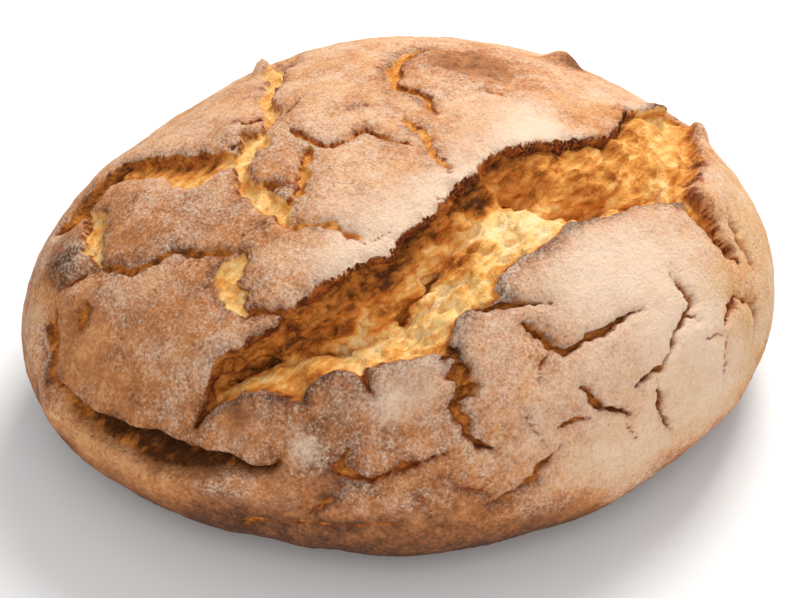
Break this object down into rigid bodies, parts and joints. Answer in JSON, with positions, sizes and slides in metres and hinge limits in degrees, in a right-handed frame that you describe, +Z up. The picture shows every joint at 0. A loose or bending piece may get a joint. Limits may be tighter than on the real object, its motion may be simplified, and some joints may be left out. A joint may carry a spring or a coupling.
{
  "type": "corn bread loaf",
  "caption": "Rustic oval corn bread loaf: domed, with a flat base, a floured crust cracked into plates, a long open split over the top and a tear low on one side.",
  "frame": {"origin": "on the surface that the loaf rests on, under the middle of its outline", "axes": "+Z up, +X along the loaf's length, +Y across it towards the raised lip's side"},
  "size_m": [0.2427, 0.2121, 0.0956],
  "materials": {
    "crust": "dry baked crust, matt, floured"
  },
  "bodies": {
    "root": {"loaf": "crust"}
  },
  "joints": []
}
